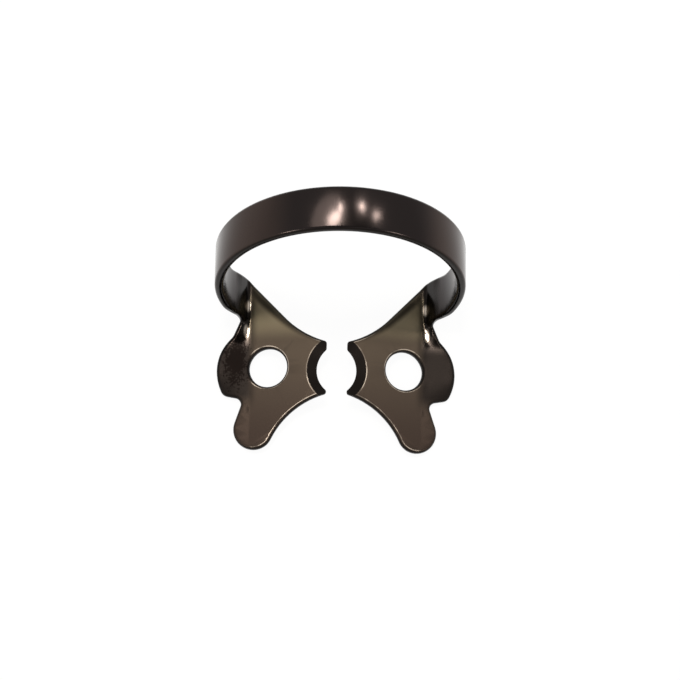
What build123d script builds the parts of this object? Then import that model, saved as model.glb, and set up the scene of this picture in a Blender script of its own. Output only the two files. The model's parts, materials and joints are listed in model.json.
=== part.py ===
from build123d import *
from math import cos, exp, radians, sin, sqrt, tan
import os

os.makedirs("parts", exist_ok=True)

# Sheet and bow, in millimetres and degrees
sheet_thickness = 0.9
strip_width = 4.45
bow_radius = 12.45
bow_wrap = 26.0
leg_length = 2.6
foot_radius = 1.0
jaw_rise = 16.0
edge_radius = 0.34
neck_y = 3.054

# Lean of the bow away from the jaws, from just above the straight legs
bow_lean = 12.0
lean_clear = 0.21
lean_round = 6.0
lean_reach = 30.0

# Wing fold, easing off from the turn of the foot to the flatter wing, and again to the flat tab
wing_fold = 20.0
tab_fold = 3.0
tab_ease_start = 6.2
tab_ease_end = 10.2
tab_drop = 0.247
wing_fold_radius = 2.5
wing_reach = 3.4
wing_length = 15.6
fold_ease = 1.3
fold_steps = 12

# Jaw outline in plan, right half: y from the front of the strip; setbacks run inward from the
# inner face of the leg and wing overhangs outward from it
neck_setback = 1.1
neck_cut_angle = 47.0
neck_cut_round = 1.5
back_sweep_setback = 5.3
prong_tip_x = 1.08
prong_back_y = -2.85
prong_front_y = -8.48
prong_round = 0.3
notch_x = 2.08
notch_y = -5.86
notch_radius = 2.85
front_sweep_setback = 6.48
front_sweep_y = -10.05
tab_inner_setback = 4.06
tab_inner_y = -13.1
tab_end_setback = 2.3
tab_end_y = -14.2
tab_outer_setback = 0.22
tab_outer_y = -11.25
tab_side_length = 2.6
wing_gap_round = 0.7
wing_front_overhang = 1.05
wing_front_y = -8.42
wing_front_round = 0.9
wing_side_overhang = 1.8
wing_side_y = -5.52
wing_back_overhang = 0.2
wing_back_y = -2.1
wing_back_round = 1.5
root_setback = 0.68
root_round = 0.35

# Forceps hole and ground tooth edge
hole_diameter = 4.15
hole_setback = 3.64
hole_y = -5.47
bevel_angle = 52.0
bevel_lip = 0.2

wrap = radians(bow_wrap)
rise = radians(jaw_rise)
half_sheet = sheet_thickness / 2

# Middle line of the bent strip: foot centre, ends of the leg, bow centre, start of the flat jaw
foot_x = (bow_radius - foot_radius) * cos(wrap) - leg_length * sin(wrap)
foot_z = half_sheet + foot_radius * cos(rise) + wing_fold_radius * (1 - cos(rise)) + tab_drop
leg_foot = (foot_x + foot_radius * cos(wrap), foot_z - foot_radius * sin(wrap))
leg_top = (leg_foot[0] + leg_length * sin(wrap), leg_foot[1] + leg_length * cos(wrap))
leg_inner_x = leg_top[0] - half_sheet * cos(wrap)
bow_z = leg_top[1] + bow_radius * sin(wrap)
lean_start = leg_top[1] + lean_clear
plate_start = (foot_x - foot_radius * sin(rise), foot_z - foot_radius * cos(rise))
foot_turn = 90 + jaw_rise - bow_wrap


def plate_height(x):
    """Height of the middle of the flat jaw sheet at a distance x from the plane of symmetry."""
    return plate_start[1] + (plate_start[0] - x) * tan(rise)


plate_end = (prong_tip_x / 2, plate_height(prong_tip_x / 2))
neck_plane = Plane.XZ.offset(-neck_y)
plan_plane = Plane((0, neck_y, 0))
plate_up = Vector(sin(rise), 0, cos(rise))
plate_out = Vector(cos(rise), 0, -sin(rise))

# Half of the bow with its leg, foot and the flat sheet running in from it, cut to a strip that
# leans back above the leg
with BuildPart() as bow:
    with BuildSketch(neck_plane) as bow_section:
        with BuildLine() as bow_line:
            crown = JernArc((0, bow_z + bow_radius), (1, 0), bow_radius, -(90 + bow_wrap))
            leg = Line(crown @ 1, leg_foot)
            foot = JernArc(leg @ 1, leg % 1, foot_radius, -foot_turn)
            Line(foot @ 1, plate_end)
        trace(line_width=sheet_thickness)
    extrude(amount=-(strip_width + lean_reach))
    with BuildSketch(Plane.YZ) as bow_side:
        with BuildLine() as bow_side_line:
            front = Line((neck_y, -sheet_thickness), (neck_y, lean_start))
            front_turn = JernArc(front @ 1, front % 1, lean_round, -bow_lean)
            front_rise = Line(front_turn @ 1, front_turn @ 1 + (front_turn % 1) * lean_reach)
            back = Line((neck_y + strip_width, -sheet_thickness), (neck_y + strip_width, lean_start))
            back_turn = JernArc(back @ 1, back % 1, lean_round, -bow_lean)
            back_rise = Line(back_turn @ 1, back_turn @ 1 + (back_turn % 1) * lean_reach)
            Line(front_rise @ 1, back_rise @ 1)
            Line(front @ 0, back @ 0)
        make_face()
    extrude(amount=2 * bow_radius, mode=Mode.INTERSECT)

# Jaw sheet in front of the bow; the sections run both ways from the neck, so that the fold
# leaves the foot without a kink, and the back half is cut off again
stations = [wing_length * step / fold_steps for step in range(-fold_steps, fold_steps + 1)]

with BuildPart() as jaw:
    for station in stations:
        ease = exp(-((station / fold_ease) ** 2))
        run = min(max((abs(station) - tab_ease_start) / (tab_ease_end - tab_ease_start), 0), 1)
        fold = wing_fold + (tab_fold - wing_fold) * run * run * (3 - 2 * run)
        turn = fold + (foot_turn - fold) * ease
        turn_radius = wing_fold_radius + (foot_radius - wing_fold_radius) * ease
        with BuildSketch(neck_plane.offset(station)) as wing_section:
            with BuildLine() as wing_line:
                plate = Line(plate_end, plate_start)
                bend = JernArc(plate @ 1, plate % 1, turn_radius, turn)
                Line(bend @ 1, bend @ 1 + (bend % 1) * wing_reach)
            trace(line_width=sheet_thickness)
    loft()
    split(bisect_by=neck_plane, keep=Keep.TOP)

# Plan outline of the right half, from the back of the strip round the jaw to its front
outside_x = bow_radius + sheet_thickness
neck_cut_x = leg_inner_x - neck_setback
root_x = leg_inner_x - root_setback
leg_clear_x = plate_start[0] - sheet_thickness
back_sweep_x = leg_inner_x - back_sweep_setback
front_sweep_x = leg_inner_x - front_sweep_setback
tab_inner_x = leg_inner_x - tab_inner_setback
tab_end_x = leg_inner_x - tab_end_setback
tab_outer_x = leg_inner_x - tab_outer_setback
wing_front_x = leg_inner_x + wing_front_overhang
wing_side_x = leg_inner_x + wing_side_overhang
wing_back_x = leg_inner_x + wing_back_overhang
back_sweep_y = strip_width - (neck_cut_x - back_sweep_x) * tan(radians(neck_cut_angle))
notch_chord = sqrt(notch_radius**2 - (prong_tip_x + notch_radius - notch_x) ** 2)

with BuildSketch(Plane.XY) as outline:
    with BuildLine() as outline_line:
        strip_back = Line((outside_x, strip_width), (neck_cut_x, strip_width))
        neck_cut = Line(strip_back @ 1, (back_sweep_x, back_sweep_y))
        back_sweep = TangentArc(neck_cut @ 1, (prong_tip_x, prong_back_y), tangent=neck_cut % 1)
        back_prong = Line(back_sweep @ 1, (prong_tip_x, notch_y + notch_chord))
        notch = ThreePointArc(back_prong @ 1, (notch_x, notch_y), (prong_tip_x, notch_y - notch_chord))
        front_prong = Line(notch @ 1, (prong_tip_x, prong_front_y))
        front_sweep = ThreePointArc(
            front_prong @ 1, (front_sweep_x, front_sweep_y), (tab_inner_x, tab_inner_y)
        )
        tab_end = TangentArc(front_sweep @ 1, (tab_end_x, tab_end_y), tangent=front_sweep % 1)
        tab_outer = TangentArc(tab_end @ 1, (tab_outer_x, tab_outer_y), tangent=tab_end % 1)
        tab_side = Line(tab_outer @ 1, tab_outer @ 1 + (tab_outer % 1) * tab_side_length)
        wing_front = Line(tab_side @ 1, (wing_front_x, wing_front_y))
        wing_side = ThreePointArc(wing_front @ 1, (wing_side_x, wing_side_y), (wing_back_x, wing_back_y))
        wing_back = Line(wing_side @ 1, (root_x, 0))
        strip_front = Line(wing_back @ 1, (outside_x, 0))
        Line(strip_front @ 1, strip_back @ 0)
    make_face()
    for corner, radius in (
        (strip_back @ 1, neck_cut_round),
        (back_sweep @ 1, prong_round),
        (notch @ 0, prong_round),
        (notch @ 1, prong_round),
        (front_prong @ 1, prong_round),
        (tab_side @ 1, wing_gap_round),
        (wing_front @ 1, wing_front_round),
        (wing_side @ 1, wing_back_round),
        (wing_back @ 1, root_round),
    ):
        fillet(outline.vertices().sort_by_distance(corner)[0], radius)


def cut_edges(part):
    """Edges between the sheet's faces and its stamped walls, clear of the plane of symmetry."""
    found = []
    for edge in part.edges():
        middle = edge @ 0.5
        sides = [face for face in part.faces() if any(edge.is_same(other) for other in face.edges())]
        if middle.X < half_sheet or len(sides) != 2:
            continue
        if sides[0].normal_at(middle).get_angle(sides[1].normal_at(middle)) > 30:
            found.append(edge)
    return found


hole_x = leg_inner_x - hole_setback
hole_plane = Plane((hole_x, neck_y + hole_y, plate_height(hole_x)), x_dir=(0, 1, 0), z_dir=plate_up)
lip = Vector(notch_x, neck_y + notch_y, plate_height(notch_x) - (half_sheet - bevel_lip) / cos(rise))
bevel_plane = Plane(
    lip - plate_out * notch_radius - plate_up * sheet_thickness, x_dir=(0, 1, 0), z_dir=plate_up
)

with BuildPart() as half:
    add(bow.part)
    add(jaw.part)
    with BuildSketch(plan_plane.offset(-sheet_thickness)) as waste:
        Rectangle(8 * outside_x, 8 * outside_x)
        add(outline.sketch, mode=Mode.SUBTRACT)
        with Locations((leg_clear_x, 0)):
            Rectangle(8 * outside_x, 8 * outside_x, align=(Align.MIN, Align.MIN), mode=Mode.SUBTRACT)
    extrude(amount=2 * sheet_thickness + leg_top[1] + wing_reach, mode=Mode.SUBTRACT)
    with BuildSketch(plan_plane.offset(-sheet_thickness)) as neck_waste:
        with Locations((leg_clear_x, 0)):
            Rectangle(8 * outside_x, 8 * outside_x, align=(Align.MIN, Align.MIN))
        add(outline.sketch, mode=Mode.SUBTRACT)
    extrude(amount=sheet_thickness + lean_start, mode=Mode.SUBTRACT)
    with BuildSketch(hole_plane) as hole:
        Circle(hole_diameter / 2)
    extrude(amount=2 * sheet_thickness, both=True, mode=Mode.SUBTRACT)
    fillet(cut_edges(half.part), edge_radius)
    with BuildSketch(bevel_plane) as bevel:
        Circle(notch_radius - sheet_thickness * tan(radians(bevel_angle)))
    extrude(amount=3 * sheet_thickness, taper=-bevel_angle, mode=Mode.SUBTRACT)

with BuildPart() as clamp:
    add(half.part)
    mirror(about=Plane.YZ)

clamp.part.label = "clamp"
export_step(clamp.part, "parts/clamp.step")
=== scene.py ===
import json
from math import cos, pi, radians, sin, tan
from types import SimpleNamespace

import bmesh
import bpy
from bpy.props import FloatProperty, FloatVectorProperty, PointerProperty
from mathutils import Matrix, Vector


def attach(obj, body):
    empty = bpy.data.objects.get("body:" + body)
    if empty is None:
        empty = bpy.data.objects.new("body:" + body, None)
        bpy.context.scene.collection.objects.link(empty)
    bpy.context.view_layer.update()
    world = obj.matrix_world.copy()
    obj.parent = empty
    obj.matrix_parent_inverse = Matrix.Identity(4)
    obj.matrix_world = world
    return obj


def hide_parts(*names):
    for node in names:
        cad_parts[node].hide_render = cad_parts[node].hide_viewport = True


bl_info = {
    "name": "Rubber Dam Clamp",
    "version": (1, 0, 0),
    "blender": (4, 5, 0),
    "location": "3D View > Sidebar > Clamp",
    "description": "Dresses a bent sheet steel dam clamp and sets a plain studio round it",
    "category": "Object",
}

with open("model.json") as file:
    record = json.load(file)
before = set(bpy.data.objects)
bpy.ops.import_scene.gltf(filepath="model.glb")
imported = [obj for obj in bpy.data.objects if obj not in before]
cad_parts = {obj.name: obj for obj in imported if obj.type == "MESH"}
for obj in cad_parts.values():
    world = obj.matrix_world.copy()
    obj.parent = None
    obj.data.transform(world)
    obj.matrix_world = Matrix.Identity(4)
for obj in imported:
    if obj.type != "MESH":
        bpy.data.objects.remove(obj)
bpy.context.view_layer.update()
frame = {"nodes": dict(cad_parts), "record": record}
forceps_hole = next(mount for mount in frame["record"]["mounts"] if mount["name"] == "forceps_hole_right")

# Shape of the sheet: the forceps hole is square to its jaw, and the bow leans back above the legs.
# Places are in metres, and a side is a distance from the plane between the jaws
JAW_SIN, _, JAW_COS = forceps_hole["axis"]
BOW_LEAN = radians(12.0)
LEAN_HEIGHT = 0.0045
STRIP_MIDDLE_Y = 0.00528
STRIP_HALF_WIDTH = 0.00222

# Areas of the finish and of the painted light and shade: each pair is where an area starts along its axis
# and where it is full
LEG_HEIGHT = (0.0025, 0.0039)
LEG_SIDE = (0.0080, 0.0092)
BOW_HEIGHT = (0.0058, 0.0078)
BOW_SIDE_HEIGHT = (0.0060, 0.0090)
BOW_LEFT_SIDE = (0.0048, 0.0080)
BOW_RIGHT_SIDE = (0.0072, 0.0104)
FOOT_SIDE = (0.0086, 0.0094)
FOOT_Y = (-0.0008, 0.0008)
WING_SIDE = (0.0082, 0.0095)
WING_Y = (-0.0072, -0.0050)
TAB_TO_JAW_Y = (-0.0105, 0.0015)
JAW_TO_NECK_Y = (0.0002, 0.0036)

# Painted shade on the stamped walls, by how far the steel turns from the face of the jaw and how squarely
# it faces along Y, and on the notch, ground to a cone round an axis of its own
FACING_OUT = (0.55, 0.93)
FACING_ENDWAYS = (0.3, 0.8)
NOTCH_SIDE = -0.00066
NOTCH_Y = -0.002806
NOTCH_HEIGHT = 0.003268
NOTCH_EDGE = (0.00370, 0.00376)

# Painted shade along the back edge of each jaw, a dark reflection of the bow, in an arc that runs on into
# a straight cut
BACK_ARC_MIDDLE = (-0.00208, 0.01006)
BACK_ARC_RADIUS = 0.01035
BACK_CUT_END = (0.0096855, 0.007504)
BACK_CUT_ANGLE = radians(47.0)
ARC_TO_CUT_SIDE = (0.0050, 0.0060)
SHADE_REACH_SIDE = (0.0015, 0.0085)
SHADE_REACH_AT_PRONG = 0.0003
SHADE_REACH_AT_LEG = 0.0010
SHADE_EDGE = (-0.00035, 0.00025)
SHADE_Y = (-0.0002, 0.0006)
SHADE_SHARE = 0.85

# Painted highlights: the rounded rims, the lip of the notch, and spots in the folds by middle and radii
RIM_START = (0.90, 0.95)
RIM_END = (0.975, 0.992)
RIM_SIDE = (0.0086, 0.0091)
LIP_START = (0.00372, 0.00377)
LIP_END = (0.00380, 0.00388)
LIP_HALF_LENGTH = 0.002887
LEAST_HIGHLIGHT = 0.25
HIGHLIGHT_PATCHES = (0.42, 0.58)
HIGHLIGHT_TOP = (0.0034, 0.0042)
FOLD_SPOTS = (
    ((0.00945, 0.0043), (0.00036, 0.00062)),
    ((0.00958, 0.0016), (0.00030, 0.00070)),
)
SPOT_EDGE = (0.35, 1.25)

# Stain on the left wing, an oval broken up by the patches and the grain
STAIN_MIDDLE = (-0.01065, -0.0017)
STAIN_RADII = (0.0013, 0.0030)
STAIN_PATCHES = 1.3
STAIN_GRAIN = 2.4
STAIN_EDGE = (0.05, 0.3)

# Patches and grain of the polish; the noise that makes them swings about its middle
NOISE_MIDDLE = 0.5
PATCH_DETAIL = 3.0
GRAIN_DETAIL = 2.0
GRAINS_PER_PATCH = 6.0
PATCH_ROUGHNESS = 0.05
PATCH_BUMP = 0.1
PATCH_DEPTH = 0.00002

# Mesh of the sheet
MERGE_DISTANCE = 1e-6
FACE_WEIGHT = 100

# Floor, as a share of pure white, and the shade of the room from level to straight up
FLOOR_SEEN = 0.94
FLOOR_MIRRORED = 0.95
ROOM_SHADES = ((0.0, 1.0), (0.35, 0.75), (0.82, 0.75), (0.96, 0.28))

# Lamps: name, heading from the clamp, width, height and how many times brighter than white
LAMPS = (
    ("left_lamp", (-0.13, 0.19, 0.97), 0.12, 0.08, 54.0),
    ("left_glow", (-0.26, 0.22, 0.94), 0.30, 0.22, 3.4),
    ("middle_lamp", (-0.05, 0.30, 0.95), 0.03, 0.045, 120.0),
    ("right_lamp", (0.26, 0.32, 0.91), 0.035, 0.04, 120.0),
    ("side_lamp", (0.46, 0.25, 0.85), 0.04, 0.08, 36.0),
    ("front_left_lamp", (-0.62, -0.50, 0.60), 0.12, 0.12, 14.0),
    ("front_right_lamp", (0.62, -0.50, 0.60), 0.12, 0.12, 14.0),
)
LAMP_TARGET = Vector((0.0, 0.0, 0.01))

# Camera
IMAGE_PIXELS = 680
SENSOR_MM = 36.0
MM_PER_METRE = 1000.0
CLIP_NEAR = 0.005
CLIP_FAR = 50.0


class Socket:
    """A shader socket that takes part in Python sums, each sum adding a Math node."""

    def __init__(self, tree, socket=None):
        self.tree = tree
        self.socket = socket

    def node(self, kind, settings=None, output=0, **values):
        """Adds any other node: its settings first, then the values or links of its sockets."""
        made = self.tree.nodes.new(kind)
        for name, value in (settings or {}).items():
            if name == "stops":
                ramp = made.color_ramp
                while len(ramp.elements) < len(value):
                    ramp.elements.new(1.0)
                for element, (place, shade) in zip(ramp.elements, value):
                    element.position = place
                    element.color = (shade, shade, shade, 1.0)
            else:
                setattr(made, name, value)
        for name, value in values.items():
            key = int(name[1:]) if name[0] == "_" else name.replace("_", " ")
            self.put(made.inputs[key], value)
        return Socket(self.tree, made.outputs[output])

    def put(self, target, value):
        """Links or sets one socket."""
        if isinstance(value, Socket):
            self.tree.links.new(value.socket, target)
        else:
            target.default_value = value

    def math(self, operation, first, second=0.0):
        """Adds one Math node."""
        return self.node("ShaderNodeMath", {"operation": operation}, _0=first, _1=second)

    def __add__(self, other):
        return self.math("ADD", self, other)

    def __radd__(self, other):
        return self.math("ADD", other, self)

    def __sub__(self, other):
        return self.math("SUBTRACT", self, other)

    def __rsub__(self, other):
        return self.math("SUBTRACT", other, self)

    def __mul__(self, other):
        return self.math("MULTIPLY", self, other)

    def __rmul__(self, other):
        return self.math("MULTIPLY", other, self)

    def larger(self, other):
        """The larger of two values."""
        return self.math("MAXIMUM", self, other)

    def axes(self):
        """The X, Y and Z of a vector."""
        split = self.node("ShaderNodeSeparateXYZ", Vector=self).socket.node
        return [Socket(self.tree, output) for output in split.outputs]

    def ramp(self, low, high):
        """Goes smoothly from 0 at low to 1 at high."""
        return self.node(
            "ShaderNodeMapRange",
            {"interpolation_type": "SMOOTHSTEP"},
            Value=self, From_Min=low, From_Max=high,
        )

    def blend(self, first, second):
        """Mixes two colours, with this share of the second one."""
        return self.node(
            "ShaderNodeMix", {"data_type": "RGBA"}, output="Result",
            Factor=self, _6=first, _7=second,
        )


class ClampFinish(bpy.types.PropertyGroup):
    """Colours and polish of the steel, with the colours of its painted light and shade."""

    jaw_colour: FloatVectorProperty(
        name="Jaw Colour",
        description="Colour of the flat jaws, where the sheet was tinted in hardening",
        subtype="COLOR", size=3, min=0.0, max=1.0, default=(0.072, 0.0565, 0.0425),
    )
    # painted shade: the jaws darken towards the front tabs
    tab_shade_colour: FloatVectorProperty(
        name="Tab Colour",
        description="Colour of the jaws towards the front tabs",
        subtype="COLOR", size=3, min=0.0, max=1.0, default=(0.04, 0.029, 0.0235),
    )
    # painted light: the jaws grow paler towards the legs
    neck_light_colour: FloatVectorProperty(
        name="Neck Colour",
        description="Colour of the jaws towards the legs, where the tint is paler",
        subtype="COLOR", size=3, min=0.0, max=1.0, default=(0.26, 0.22, 0.145),
    )
    # painted shade: the wings and the folds are darkened
    wing_shade_colour: FloatVectorProperty(
        name="Wing Colour",
        description="Colour of the wings and the folds",
        subtype="COLOR", size=3, min=0.0, max=1.0, default=(0.0145, 0.012, 0.0108),
    )
    bow_colour: FloatVectorProperty(
        name="Bow Colour",
        description="Colour of the bow and the legs",
        subtype="COLOR", size=3, min=0.0, max=1.0, default=(0.028, 0.0225, 0.0215),
    )
    # painted reflection: the sides of the bow are lighter and browner
    bow_side_reflection_colour: FloatVectorProperty(
        name="Bow Side Colour",
        description="Colour of the sides of the bow, where its tint is browner",
        subtype="COLOR", size=3, min=0.0, max=1.0, default=(0.052, 0.038, 0.033),
    )
    stain_colour: FloatVectorProperty(
        name="Stain Colour",
        description="Colour of the dark stain on the left wing",
        subtype="COLOR", size=3, min=0.0, max=1.0, default=(0.006, 0.0045, 0.004),
    )
    # painted shade on the stamped walls, the ground notch and along the back of the jaws
    painted_shade_colour: FloatVectorProperty(
        name="Cut Colour",
        description="Colour of the stamped and ground edges, and of the tint along the back of the jaws",
        subtype="COLOR", size=3, min=0.0, max=1.0, default=(0.014, 0.0115, 0.0102),
    )
    # painted highlights on the rims, the lip of the notch and in the folds
    painted_highlight_colour: FloatVectorProperty(
        name="Rubbed Colour",
        description="Colour of the bare steel on rubbed rims and folds",
        subtype="COLOR", size=3, min=0.0, max=1.0, default=(0.5, 0.43, 0.36),
    )
    bow_roughness: FloatProperty(
        name="Bow Roughness",
        description="How blurred the reflections in the bow and the turns of the feet are",
        subtype="FACTOR", min=0.0, max=1.0, default=0.16,
    )
    jaw_roughness: FloatProperty(
        name="Jaw Roughness",
        description="How blurred the reflections in the flat jaws are",
        subtype="FACTOR", min=0.0, max=1.0, default=0.44,
    )
    wing_roughness: FloatProperty(
        name="Wing Roughness",
        description="How blurred the reflections in the wings are",
        subtype="FACTOR", min=0.0, max=1.0, default=0.5,
    )
    bow_crown: FloatProperty(
        name="Bow Crown",
        description="How far the middle of the strip stands above its edges",
        unit="LENGTH", min=0.0, max=0.001, default=0.00012,
    )
    patch_size: FloatProperty(
        name="Patch Size",
        description="Size of the patches in the polish",
        unit="LENGTH", min=0.0001, max=0.01, default=0.0012,
    )
    smooth_angle: FloatProperty(
        name="Smooth Angle",
        description="Faces that meet at less than this angle are shaded as one",
        subtype="ANGLE", min=0.0, max=pi, default=radians(32.0),
    )


class StudioSetup(bpy.types.PropertyGroup):
    """Floor, light and camera."""

    floor_colour: FloatVectorProperty(
        name="Floor Colour",
        description="Colour of the plain floor",
        subtype="COLOR", size=3, min=0.0, max=1.0, default=(0.9, 0.9, 0.9),
    )
    floor_width: FloatProperty(
        name="Floor Width",
        description="Width of the floor",
        unit="LENGTH", min=0.1, max=20.0, default=6.0,
    )
    room_level: FloatProperty(
        name="Room Level",
        description="Strength of the plain light of the room",
        min=0.0, max=2.0, default=1.0,
    )
    lamp_colour: FloatVectorProperty(
        name="Lamp Colour",
        description="Colour of the lamps",
        subtype="COLOR", size=3, min=0.0, max=1.0, default=(1.0, 0.93, 0.85),
    )
    lamp_distance: FloatProperty(
        name="Lamp Distance",
        description="Distance of the lamps from the middle of the floor",
        unit="LENGTH", min=0.1, max=5.0, default=0.6,
    )
    camera_height: FloatProperty(
        name="Camera Height Angle",
        description="Angle of the camera above the floor",
        subtype="ANGLE", default=radians(75.5078),
    )
    camera_turn: FloatProperty(
        name="Camera Turn",
        description="Turn of the camera round the clamp",
        subtype="ANGLE", default=radians(8.4138),
    )
    camera_roll: FloatProperty(
        name="Camera Roll",
        description="Tilt of the picture",
        subtype="ANGLE", default=radians(9.5996),
    )
    camera_aim: FloatVectorProperty(
        name="Camera Aim",
        description="Point in the clamp that the camera is set from",
        subtype="XYZ", unit="LENGTH", size=3, default=(0.0, 0.003054, 0.006),
    )
    camera_distance: FloatProperty(
        name="Camera Distance",
        description="Distance of the camera from that point, measured along its view",
        unit="LENGTH", min=0.05, max=2.0, default=0.21483,
    )
    camera_offset: FloatVectorProperty(
        name="Camera Offset",
        description="Pixels by which that point lies right of and above the middle of the picture",
        size=2, default=(-1.2774, 31.6758),
    )
    pixels_per_mm: FloatProperty(
        name="Pixels Per Millimetre",
        description="Scale of the picture at that point",
        min=0.1, max=100.0, default=9.6006,
    )


def from_middle(across, along, middle, radii=(1.0, 1.0)):
    """Distance from a middle, counted in the radii of an oval where those are given."""
    across = (across - middle[0]) * (1.0 / radii[0])
    along = (along - middle[1]) * (1.0 / radii[1])
    return across.math("SQRT", across * across + along * along)


def sheet_places(kit, finish):
    """Where a point of the sheet lies, how the sheet faces there, and the patches in its polish."""
    place = kit.node("ShaderNodeTexCoord", output="Object")
    x, y, z = place.axes()
    side = kit.math("ABSOLUTE", x)
    facing_x, facing_y, facing_z = kit.node("ShaderNodeNewGeometry", output="Normal").axes()
    facing_out = JAW_SIN * (facing_x * kit.math("SIGN", x)) + JAW_COS * facing_z
    notch_across = (side - NOTCH_SIDE) * JAW_COS - (z - NOTCH_HEIGHT) * JAW_SIN
    patches_per_metre = 1.0 / finish.patch_size
    grains_per_metre = GRAINS_PER_PATCH * patches_per_metre
    return SimpleNamespace(
        x=x, y=y, z=z, side=side,
        flat=kit.math("ABSOLUTE", facing_out),
        endways=kit.math("ABSOLUTE", facing_y),
        upward=kit.math("GREATER_THAN", facing_z, 0.0),
        from_notch=from_middle(notch_across, y, (0.0, NOTCH_Y)),
        patch=kit.node("ShaderNodeTexNoise", Vector=place, Scale=patches_per_metre, Detail=PATCH_DETAIL),
        grain=kit.node("ShaderNodeTexNoise", Vector=place, Scale=grains_per_metre, Detail=GRAIN_DETAIL),
    )


def bow_area(at):
    """The bow and the legs under it."""
    leg = at.z.ramp(*LEG_HEIGHT) * at.side.ramp(*LEG_SIDE)
    return leg.larger(at.z.ramp(*BOW_HEIGHT))


def painted_bow_side_reflection(at):
    """Painted reflection: the lighter sides of the bow, which reach further in on the left."""
    left = (0.0 - at.x).ramp(*BOW_LEFT_SIDE)
    return left.larger(at.x.ramp(*BOW_RIGHT_SIDE)) * at.z.ramp(*BOW_SIDE_HEIGHT)


def painted_wall_shade(at, bow, foot):
    """Painted shade on the stamped walls of the sheet and the ground notches."""
    wall = (1.0 - at.flat.ramp(*FACING_OUT)) * (1.0 - foot) * (1.0 - bow)
    wall = wall.larger(at.endways.ramp(*FACING_ENDWAYS))
    return wall.larger(1.0 - at.from_notch.ramp(*NOTCH_EDGE))


def painted_back_band_area(at, bow):
    """Painted shade: a dark band along the back edge of each jaw, standing in for the reflection of the
    bow, wider towards the leg.
    """
    from_arc = from_middle(at.side, at.y, BACK_ARC_MIDDLE) - BACK_ARC_RADIUS
    cut_side, cut_y = BACK_CUT_END
    cut_line_y = (at.side - cut_side) * tan(BACK_CUT_ANGLE) + cut_y
    from_cut = (cut_line_y - at.y) * cos(BACK_CUT_ANGLE)
    past_arc = at.side.ramp(*ARC_TO_CUT_SIDE)
    from_back = from_arc * (1.0 - past_arc) + from_cut * past_arc
    widening = SHADE_REACH_AT_LEG - SHADE_REACH_AT_PRONG
    reach = SHADE_REACH_AT_PRONG + widening * at.side.ramp(*SHADE_REACH_SIDE)
    band = 1.0 - (from_back - reach).ramp(*SHADE_EDGE)
    return band * at.y.ramp(*SHADE_Y) * (1.0 - bow)


def painted_highlight_area(at, painted_back_band_shade):
    """Painted highlights: thin lines on the rounded rims and the lip of the notch, and two spots in each
    fold.
    """
    rim = at.flat.ramp(*RIM_START) * (1.0 - at.flat.ramp(*RIM_END)) * (1.0 - at.side.ramp(*RIM_SIDE))
    lip = at.from_notch.ramp(*LIP_START) * (1.0 - at.from_notch.ramp(*LIP_END))
    along_lip = (at.y - NOTCH_Y) * (1.0 / LIP_HALF_LENGTH)
    highlit_edges = (rim * (1.0 - painted_back_band_shade)).larger(lip * (1.0 - along_lip * along_lip))
    highlit = highlit_edges * (LEAST_HIGHLIGHT + (1.0 - LEAST_HIGHLIGHT) * at.patch.ramp(*HIGHLIGHT_PATCHES))
    for middle, radii in FOLD_SPOTS:
        spot = from_middle(at.side, at.y, middle, radii)
        highlit = highlit.larger(1.0 - spot.ramp(*SPOT_EDGE))
    return highlit * at.upward * (1.0 - at.z.ramp(*HIGHLIGHT_TOP))


def stain_area(at):
    """The mottled stain on the left wing."""
    stain = 1.0 - from_middle(at.x, at.y, STAIN_MIDDLE, STAIN_RADII)
    stain = stain + STAIN_PATCHES * (at.patch - NOISE_MIDDLE) + STAIN_GRAIN * (at.grain - NOISE_MIDDLE)
    return stain.ramp(*STAIN_EDGE)


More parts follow.
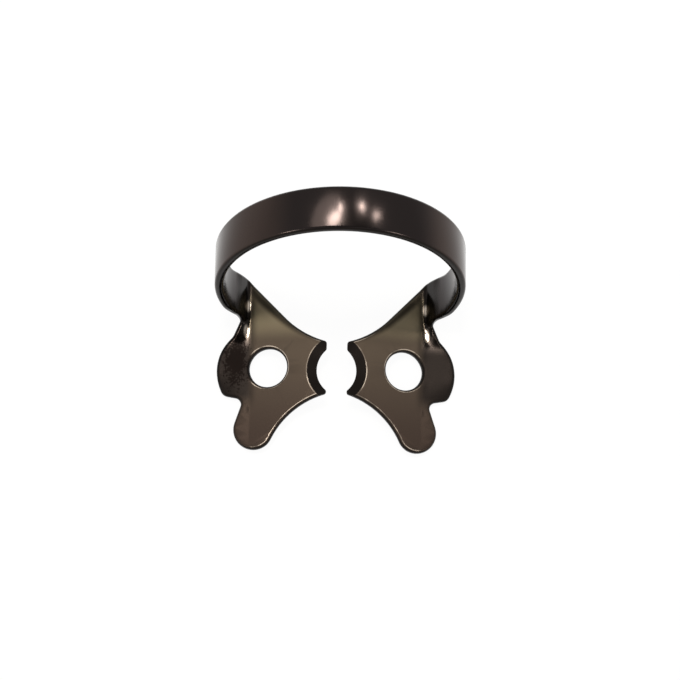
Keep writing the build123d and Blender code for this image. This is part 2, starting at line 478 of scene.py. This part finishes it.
def steel_material(finish):
    """Dark polished spring steel: tinted jaws, greyer bow and a stain on one wing, with painted shade,
    painted light and painted highlights laid over them.
    """
    material = bpy.data.materials.new("polished_steel")
    material.use_nodes = True
    shader = material.node_tree.nodes["Principled BSDF"]
    shader.inputs["Metallic"].default_value = 1.0
    kit = Socket(material.node_tree)
    at = sheet_places(kit, finish)
    bow = bow_area(at)
    foot = at.side.ramp(*FOOT_SIDE) * at.y.ramp(*FOOT_Y) * (1.0 - bow)
    outside = at.side.ramp(*WING_SIDE) * at.y.ramp(*WING_Y)
    wing = outside * (1.0 - bow)
    painted_back_band_shade = painted_back_band_area(at, bow)

    # Colours, each laid over those before it, painted shade, light and highlights among them
    colour = (*finish.jaw_colour, 1.0)
    for share, tone in (
        # painted shade, darker towards the front tabs
        (1.0 - at.y.ramp(*TAB_TO_JAW_Y), finish.tab_shade_colour),
        # painted light, paler towards the legs
        (at.y.ramp(*JAW_TO_NECK_Y), finish.neck_light_colour),
        # painted shade, a dark reflection of the bow along the back of the jaws
        (SHADE_SHARE * painted_back_band_shade, finish.painted_shade_colour),
        # painted shade on the wings and the folds
        (outside, finish.wing_shade_colour),
        (bow, finish.bow_colour),
        # painted reflection, lighter on the sides of the bow
        (bow * painted_bow_side_reflection(at), finish.bow_side_reflection_colour),
        (stain_area(at), finish.stain_colour),
        # painted shade on the stamped walls and the notch
        (painted_wall_shade(at, bow, foot), finish.painted_shade_colour),
        # painted highlights on the rims, the lip and the folds
        (painted_highlight_area(at, painted_back_band_shade), finish.painted_highlight_colour),
    ):
        colour = share.blend(colour, (*tone, 1.0))
    kit.put(shader.inputs["Base Color"], colour)

    # Polish, duller on the flat jaws and on the wings
    roughness = finish.bow_roughness + PATCH_ROUGHNESS * (at.patch - NOISE_MIDDLE)
    jaw = (1.0 - bow) * (1.0 - wing)
    roughness = roughness + (finish.jaw_roughness - finish.bow_roughness) * jaw
    roughness = roughness + (finish.wing_roughness - finish.bow_roughness) * (wing * (1.0 - foot))
    kit.put(shader.inputs["Roughness"], roughness)

    # The strip of the bow is a little crowned across its width, so a lamp shows as a spot in it
    from_strip_middle = at.y - (at.z - LEAN_HEIGHT) * tan(BOW_LEAN) - STRIP_MIDDLE_Y
    across = from_strip_middle * (1.0 / STRIP_HALF_WIDTH)
    crown = 0.0 - across * across * bow
    crowned = kit.node("ShaderNodeBump", Strength=1.0, Distance=finish.bow_crown, Height=crown)
    uneven = kit.node(
        "ShaderNodeBump", Strength=PATCH_BUMP, Distance=PATCH_DEPTH, Height=at.patch, Normal=crowned,
    )
    kit.put(shader.inputs["Normal"], uneven)
    return material


class CLAMP_OT_body(bpy.types.Operator):
    """Shows the bent sheet of the clamp with smooth bends and its steel finish"""

    bl_idname = "clamp.body"
    bl_label = "Clamp Body"

    def execute(self, context):
        finish = context.scene.clamp_finish
        mesh = frame["nodes"]["clamp"].data.copy()
        mesh.name = "clamp_sheet"
        work = bmesh.new()
        work.from_mesh(mesh)
        bmesh.ops.remove_doubles(work, verts=work.verts, dist=MERGE_DISTANCE)
        if any(not edge.is_manifold for edge in work.edges):
            raise RuntimeError("the sheet of the clamp is not closed")
        for face in work.faces:
            face.smooth = True
        for edge in work.edges:
            edge.smooth = edge.calc_face_angle() < finish.smooth_angle
        work.to_mesh(mesh)
        work.free()
        mesh.materials.clear()
        mesh.materials.append(steel_material(finish))
        sheet = bpy.data.objects.new("clamp_sheet", mesh)
        context.scene.collection.objects.link(sheet)
        weighted = sheet.modifiers.new("even_shading", "WEIGHTED_NORMAL")
        weighted.keep_sharp = True
        weighted.weight = FACE_WEIGHT
        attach(sheet, "root")
        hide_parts("clamp")
        return {"FINISHED"}


def floor_material(studio):
    """A plain floor that shows as white to the camera and in the steel, and still takes a shadow."""
    material = bpy.data.materials.new("studio_floor")
    material.use_nodes = True
    tree = material.node_tree
    shader = tree.nodes["Principled BSDF"]
    shader.inputs["Base Color"].default_value = (*studio.floor_colour, 1.0)
    shader.inputs["Roughness"].default_value = 1.0
    shader.inputs["Specular IOR Level"].default_value = 0.0
    kit = Socket(tree)
    in_camera, in_gloss, in_glass = (
        kit.node("ShaderNodeLightPath", output=ray)
        for ray in ("Is Camera Ray", "Is Glossy Ray", "Is Transmission Ray")
    )
    seen = in_camera.larger(in_gloss.larger(in_glass) * FLOOR_MIRRORED)
    white = kit.node("ShaderNodeEmission", Color=(1.0, 1.0, 1.0, 1.0), Strength=1.0)
    plain = Socket(tree, shader.outputs["BSDF"])
    mixed = kit.node("ShaderNodeMixShader", _0=seen * FLOOR_SEEN, _1=plain, _2=white)
    kit.put(tree.nodes["Material Output"].inputs["Surface"], mixed)
    return material


def lay_floor(scene, studio):
    """A plain square floor under the clamp."""
    half = studio.floor_width / 2
    corners = [(-half, -half, 0.0), (half, -half, 0.0), (half, half, 0.0), (-half, half, 0.0)]
    mesh = bpy.data.meshes.new("studio_floor")
    mesh.from_pydata(corners, [], [(0, 1, 2, 3)])
    mesh.materials.append(floor_material(studio))
    floor = bpy.data.objects.new("studio_floor", mesh)
    scene.collection.objects.link(floor)


def light_room(scene, studio):
    """A pale room that is darker straight overhead."""
    world = bpy.data.worlds.new("studio_room")
    scene.world = world
    world.use_nodes = True
    kit = Socket(world.node_tree)
    _, _, upward = kit.node("ShaderNodeTexCoord", output="Generated").axes()
    shade = kit.node("ShaderNodeValToRGB", {"stops": ROOM_SHADES}, Fac=upward)
    background = world.node_tree.nodes["Background"]
    kit.put(background.inputs["Color"], shade)
    background.inputs["Strength"].default_value = studio.room_level


def hang_lamps(scene, studio):
    """Oval lamps that face the clamp."""
    for name, heading, width, height, level in LAMPS:
        lamp = bpy.data.lights.new(name, "AREA")
        lamp.shape = "ELLIPSE"
        lamp.size = width
        lamp.size_y = height
        face_area = pi * width * height / 4
        lamp.energy = level * pi * face_area
        lamp.color = studio.lamp_colour
        held = bpy.data.objects.new(name, lamp)
        held.location = Vector(heading).normalized() * studio.lamp_distance
        held.rotation_euler = (LAMP_TARGET - held.location).to_track_quat("-Z", "Y").to_euler()
        scene.collection.objects.link(held)


def set_camera(scene, studio):
    """A camera that looks down on the clamp from the front."""
    lens = bpy.data.cameras.new("camera")
    camera = bpy.data.objects.new("camera", lens)
    scene.collection.objects.link(camera)
    scene.camera = camera
    tilt, turn, roll = studio.camera_height, studio.camera_turn, studio.camera_roll
    ahead = Vector((sin(turn), cos(turn), 0.0))
    right = Vector((cos(turn), -sin(turn), 0.0))
    up = sin(tilt) * ahead + Vector((0.0, 0.0, cos(tilt)))
    forward = cos(tilt) * ahead - Vector((0.0, 0.0, sin(tilt)))
    rolled_right = cos(roll) * right + sin(roll) * up
    rolled_up = cos(roll) * up - sin(roll) * right
    pixels_per_metre = studio.pixels_per_mm * MM_PER_METRE
    place = (
        Vector(studio.camera_aim)
        - studio.camera_distance * forward
        - rolled_right * (studio.camera_offset[0] / pixels_per_metre)
        - rolled_up * (studio.camera_offset[1] / pixels_per_metre)
    )
    turned = Matrix((rolled_right, rolled_up, -forward)).transposed().to_4x4()
    camera.matrix_world = Matrix.Translation(place) @ turned
    lens.sensor_width = SENSOR_MM
    lens.lens = SENSOR_MM * pixels_per_metre * studio.camera_distance / IMAGE_PIXELS
    lens.clip_start = CLIP_NEAR
    lens.clip_end = CLIP_FAR


class CLAMP_OT_studio(bpy.types.Operator):
    """Sets the floor, the light of the room, the lamps and the camera"""

    bl_idname = "clamp.studio"
    bl_label = "Studio"

    def execute(self, context):
        scene = context.scene
        studio = scene.clamp_studio
        lay_floor(scene, studio)
        light_room(scene, studio)
        hang_lamps(scene, studio)
        set_camera(scene, studio)
        scene.view_settings.view_transform = "Standard"
        return {"FINISHED"}


class CLAMP_PT_panel(bpy.types.Panel):
    """Sizes, colours and build buttons of the clamp"""

    bl_idname = "CLAMP_PT_panel"
    bl_label = "Rubber Dam Clamp"
    bl_space_type = "VIEW_3D"
    bl_region_type = "UI"
    bl_category = "Clamp"

    def draw(self, context):
        for group in (context.scene.clamp_finish, context.scene.clamp_studio):
            box = self.layout.box()
            for name in group.__annotations__:
                box.prop(group, name)
        self.layout.operator("clamp.body")
        self.layout.operator("clamp.studio")


CLASSES = (ClampFinish, StudioSetup, CLAMP_OT_body, CLAMP_OT_studio, CLAMP_PT_panel)


def register():
    for kind in CLASSES:
        bpy.utils.register_class(kind)
    bpy.types.Scene.clamp_finish = PointerProperty(type=ClampFinish)
    bpy.types.Scene.clamp_studio = PointerProperty(type=StudioSetup)


def unregister():
    del bpy.types.Scene.clamp_studio
    del bpy.types.Scene.clamp_finish
    for kind in reversed(CLASSES):
        bpy.utils.unregister_class(kind)


def main():
    register()
    bpy.ops.clamp.body()
    bpy.ops.clamp.studio()


if __name__ == "__main__":
    main()
